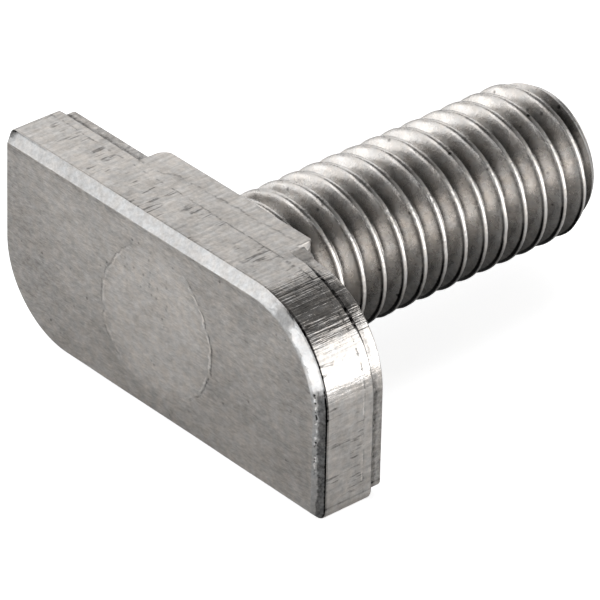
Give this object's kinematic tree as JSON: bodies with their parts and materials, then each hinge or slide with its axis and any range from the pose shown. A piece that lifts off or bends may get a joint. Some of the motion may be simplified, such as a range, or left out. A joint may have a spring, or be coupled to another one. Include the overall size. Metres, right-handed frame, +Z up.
{
  "type": "t slot bolt",
  "caption": "One-piece hammer-head bolt: rectangular head with two turned corners, bearing step, low square neck and full-length coarse thread.",
  "frame": {"origin": "on the thread axis, in the plane of the head's bearing face", "axes": "+X along the head's long side, +Y along the shank towards its point, +Z up, across the head's narrow side, with the bolt lying on the long side of its head"},
  "size_m": [0.0226, 0.0241, 0.0104],
  "materials": {
    "stainless_steel": "satin, as cold formed, with drawn forming marks on the sides and bright rolled thread crests"
  },
  "bodies": {
    "root": {"t_slot_bolt": "stainless_steel"}
  },
  "joints": []
}
